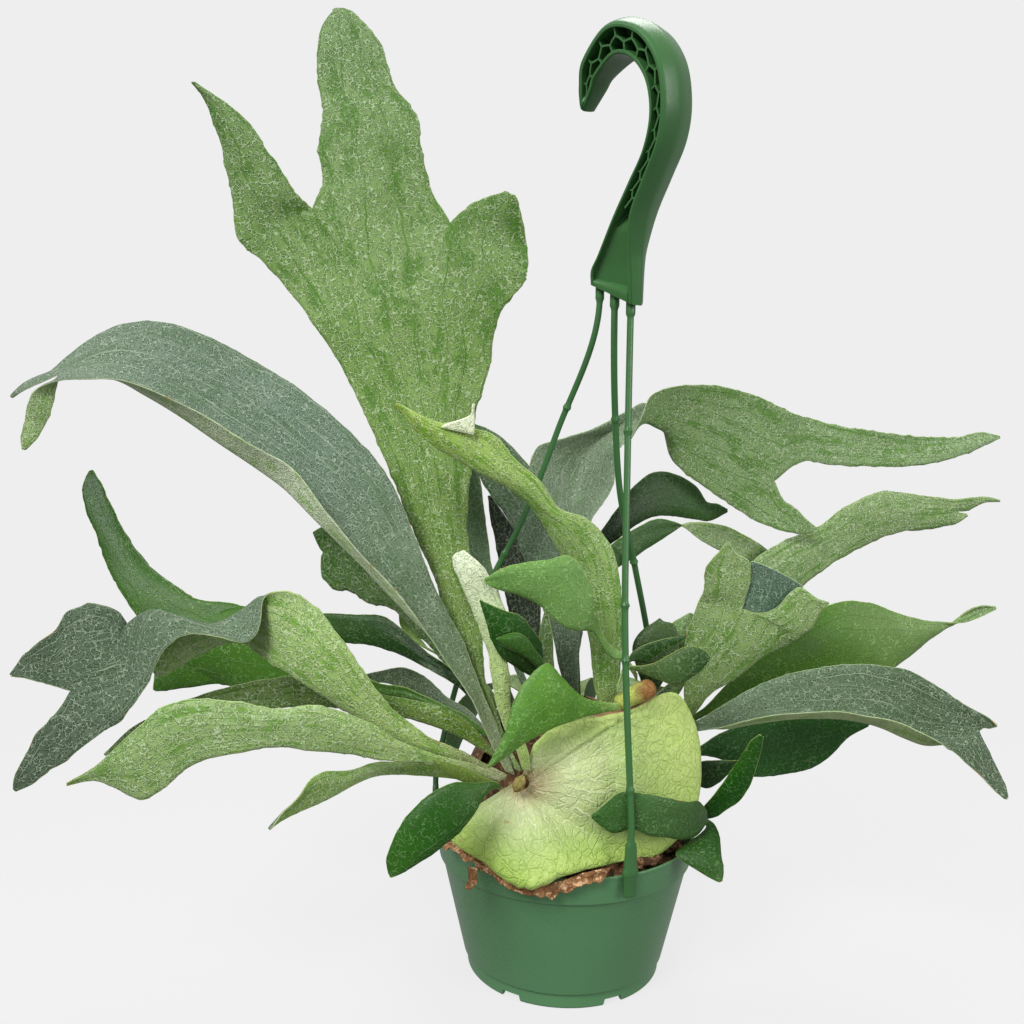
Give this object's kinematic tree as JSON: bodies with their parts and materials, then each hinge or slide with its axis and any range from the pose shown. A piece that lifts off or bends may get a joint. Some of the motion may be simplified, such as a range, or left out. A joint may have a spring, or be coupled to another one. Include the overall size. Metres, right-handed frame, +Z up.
{
  "type": "potted staghorn fern",
  "caption": "Staghorn fern with forked antler fronds and a round shield frond, growing over the rim of a small plastic hanging pot with a hook hanger.",
  "frame": {"origin": "top of the hook's throat at the middle of its depth, where the rod or nail that carries the pot touches it", "axes": "+Z up, +X to the plant's right as seen from the front, where the shield frond and crown are, +Y to the back"},
  "size_m": [0.5952, 0.2947, 0.5546],
  "materials": {
    "pot_plastic": "satin dark green",
    "hanger_plastic": "satin dark green, finely grained",
    "bark_moss": "rough",
    "shield_green": "matte with raised veins",
    "dry_frond": "dry and papery",
    "crown_wood": "rough",
    "frond_underside": "felted, light green",
    "frond_felted": "felted grey-green with pale veins",
    "frond_green": "satin green",
    "frond_pale": "felted cream"
  },
  "bodies": {
    "root": {"pot": "pot_plastic", "root_ball": "bark_moss", "shield_frond": "shield_green", "shield_frond_back": "dry_frond", "shield_margin_dry": "dry_frond", "crown_bud": "crown_wood", "cut_stem": "crown_wood", "hanger_hook": "hanger_plastic", "strand_front": "hanger_plastic", "strand_left": "hanger_plastic", "strand_right": "hanger_plastic", "frond_upright": "frond_underside", "frond_arch_left": "frond_felted", "frond_twisted_left": "frond_underside", "frond_low_left": "frond_underside", "frond_olive_left": "frond_underside", "frond_far_left": "frond_green", "frond_behind_arch": "frond_underside", "frond_dark_left": "frond_green", "frond_small_left": "frond_green", "frond_arching_back_left": "frond_felted", "frond_stub_left": "frond_green", "frond_narrow_left": "frond_underside", "frond_front_left": "frond_green", "frond_centre": "frond_underside", "frond_centre_flap": "frond_pale", "frond_young": "frond_pale", "frond_mid_left": "frond_green", "frond_small_dark": "frond_green", "frond_small_front": "frond_green", "frond_front_centre": "frond_green", "frond_back_strip": "frond_felted", "frond_back_tall": "frond_underside", "frond_back_centre": "frond_felted", "frond_back_olive": "frond_underside", "frond_back_shadow": "frond_felted", "frond_big_right": "frond_felted", "frond_round_right": "frond_green", "frond_twisted_right": "frond_green", "frond_tapered_right": "frond_underside", "frond_forked_right": "frond_underside", "frond_broad_right": "frond_green", "frond_arch_right": "frond_felted", "frond_dark_right": "frond_green", "frond_under_right": "frond_green", "frond_pointed_right": "frond_green", "frond_drooping_right": "frond_green", "frond_across_shield": "frond_green", "frond_yellow_edge": "frond_green", "frond_dark_sibling": "frond_green", "frond_low_back": "frond_green", "frond_pale_back": "frond_underside", "frond_back_middle": "frond_green", "frond_back_right": "frond_green", "frond_back_left": "frond_green", "frond_back_low": "frond_underside"}
  },
  "joints": []
}
